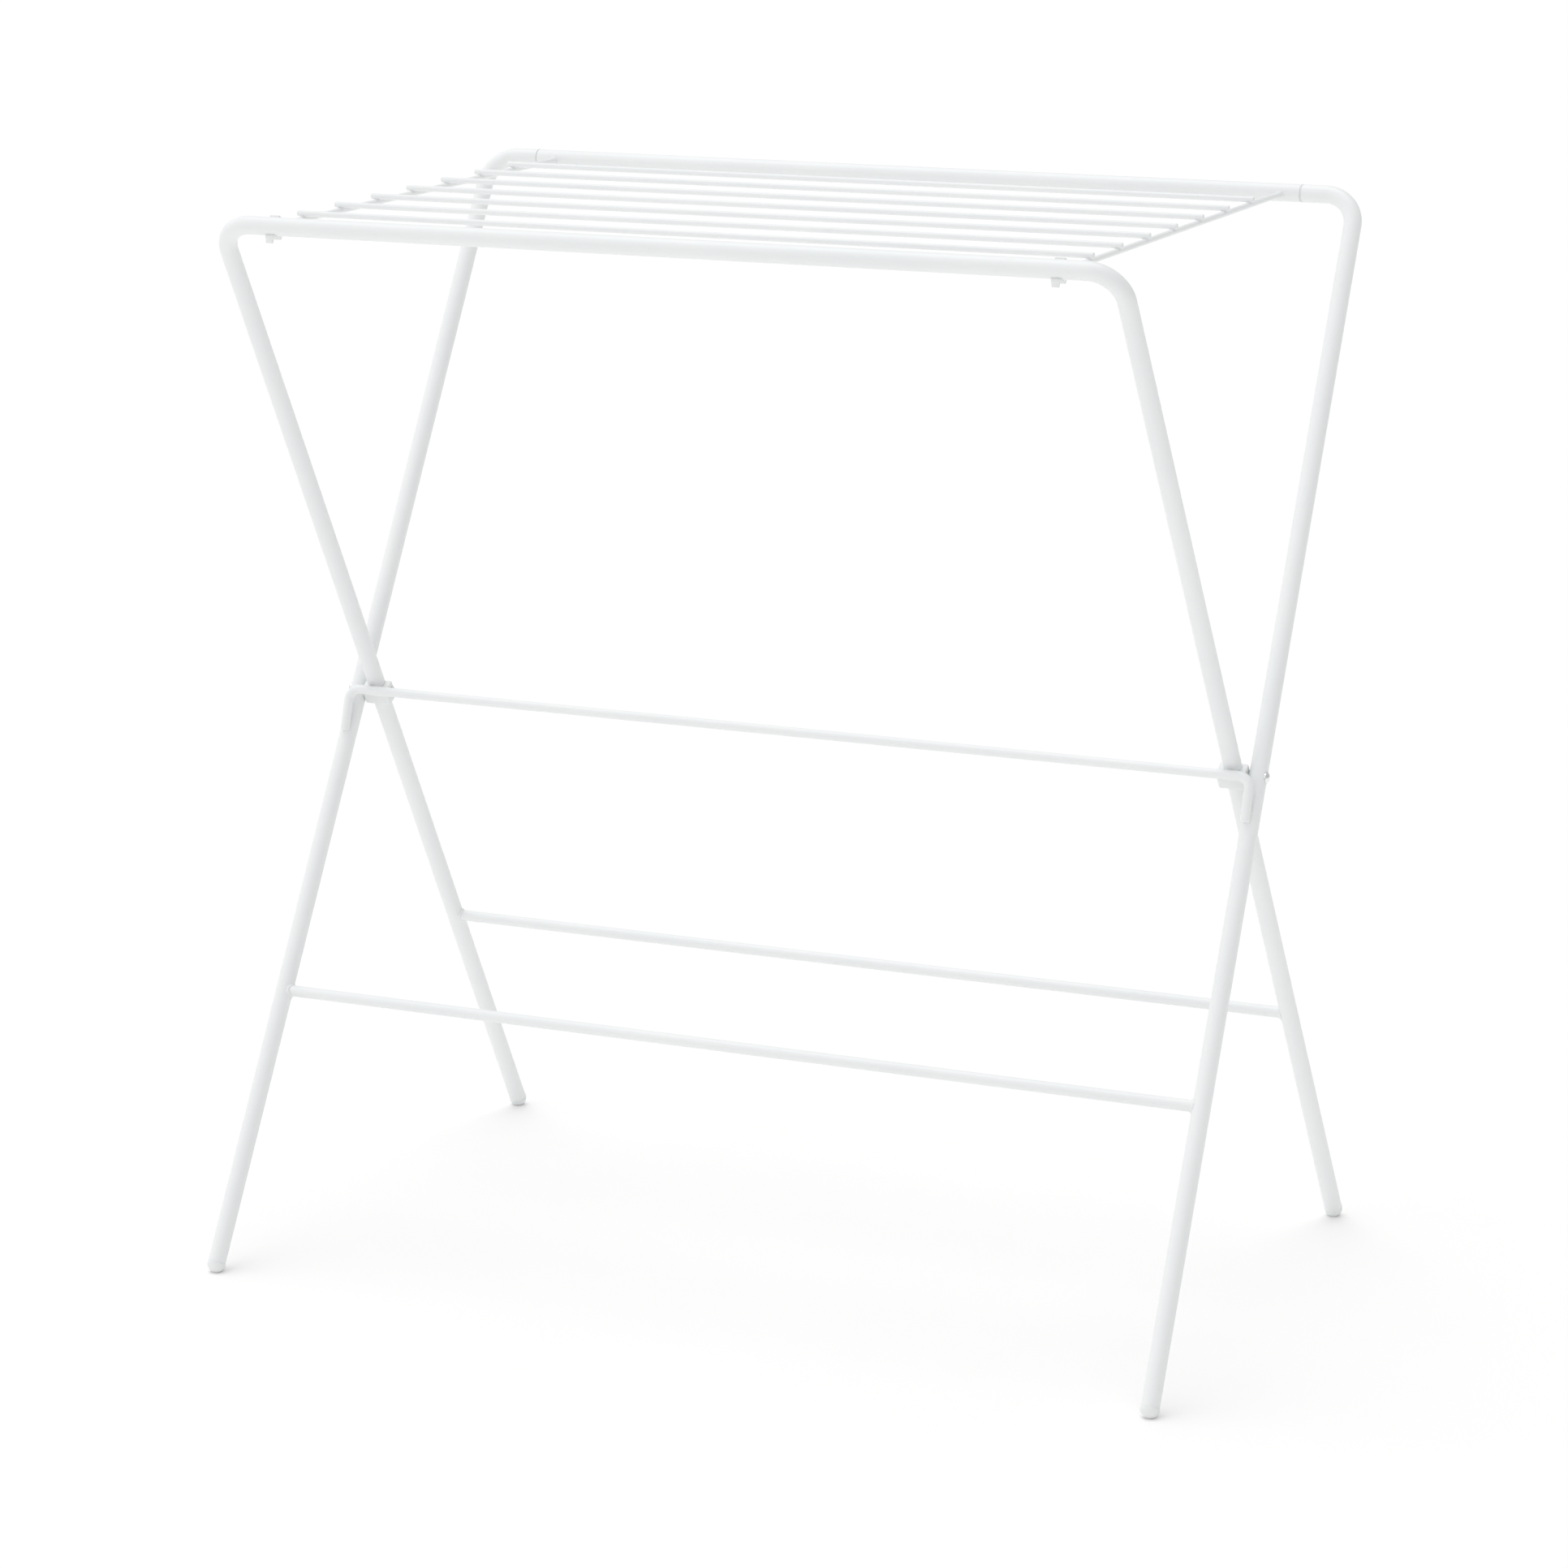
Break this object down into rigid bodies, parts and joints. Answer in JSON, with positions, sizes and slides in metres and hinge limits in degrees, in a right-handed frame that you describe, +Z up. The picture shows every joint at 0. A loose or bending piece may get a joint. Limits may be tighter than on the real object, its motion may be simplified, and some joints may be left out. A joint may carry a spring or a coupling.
{
  "type": "clothes drying rack",
  "caption": "Free-standing folding drying rack: two crossed tube frames riveted at the sides, joined at the top by a hinged wire grid that drops into two rests on the front tube.",
  "frame": {"origin": "on the floor, below the middle of the pivot line, at the centre of the footprint", "axes": "+Z up, +X along the tubes to the right, front of the rack towards -Y"},
  "size_m": [0.8014, 0.4946, 0.8409],
  "materials": {
    "white_powder_coat": "white powder coat, semi-gloss, very fine orange peel",
    "white_plastic": "moulded white polypropylene, satin",
    "steel_rivet": "polished steel"
  },
  "bodies": {
    "outer_frame": {"outer_leg_right": "white_powder_coat", "outer_leg_left": "white_powder_coat", "front_foot_cap_right": "white_plastic", "front_foot_cap_left": "white_plastic", "pivot_rivet_right": "steel_rivet", "pivot_rivet_left": "steel_rivet", "bar_end_bush_right": "white_plastic", "bar_end_bush_left": "white_plastic", "front_lower_bar": "white_powder_coat", "mid_rail": "white_powder_coat"},
    "inner_frame": {"inner_hoop": "white_powder_coat", "back_lower_bar": "white_powder_coat", "back_foot_cap_right": "white_plastic", "back_foot_cap_left": "white_plastic", "pivot_saddle_right": "white_plastic", "pivot_saddle_left": "white_plastic", "grid_rest_right": "white_plastic", "grid_rest_left": "white_plastic"},
    "drying_grid": {"grid_pivot_bar": "white_powder_coat", "cross_wire_right": "white_powder_coat", "cross_wire_left": "white_powder_coat", "grid_wire_1": "white_powder_coat", "grid_wire_2": "white_powder_coat", "grid_wire_3": "white_powder_coat", "grid_wire_4": "white_powder_coat", "grid_wire_5": "white_powder_coat", "grid_wire_6": "white_powder_coat", "grid_wire_7": "white_powder_coat"}
  },
  "joints": [
    {"name": "frame_fold", "type": "hinge", "parent": "outer_frame", "child": "inner_frame", "pos_m": [0, 0, 0.424], "axis": [-1, 0, 0], "range_deg": [0, 57]},
    {"name": "grid_swing", "type": "hinge", "parent": "outer_frame", "child": "drying_grid", "pos_m": [0, 0.235, 0.833], "axis": [-1, 0, 0], "range_deg": [0, 294]}
  ],
  "couplings": [
    {"joint": "grid_swing", "follows": "frame_fold", "ratio": 5.15}
  ]
}
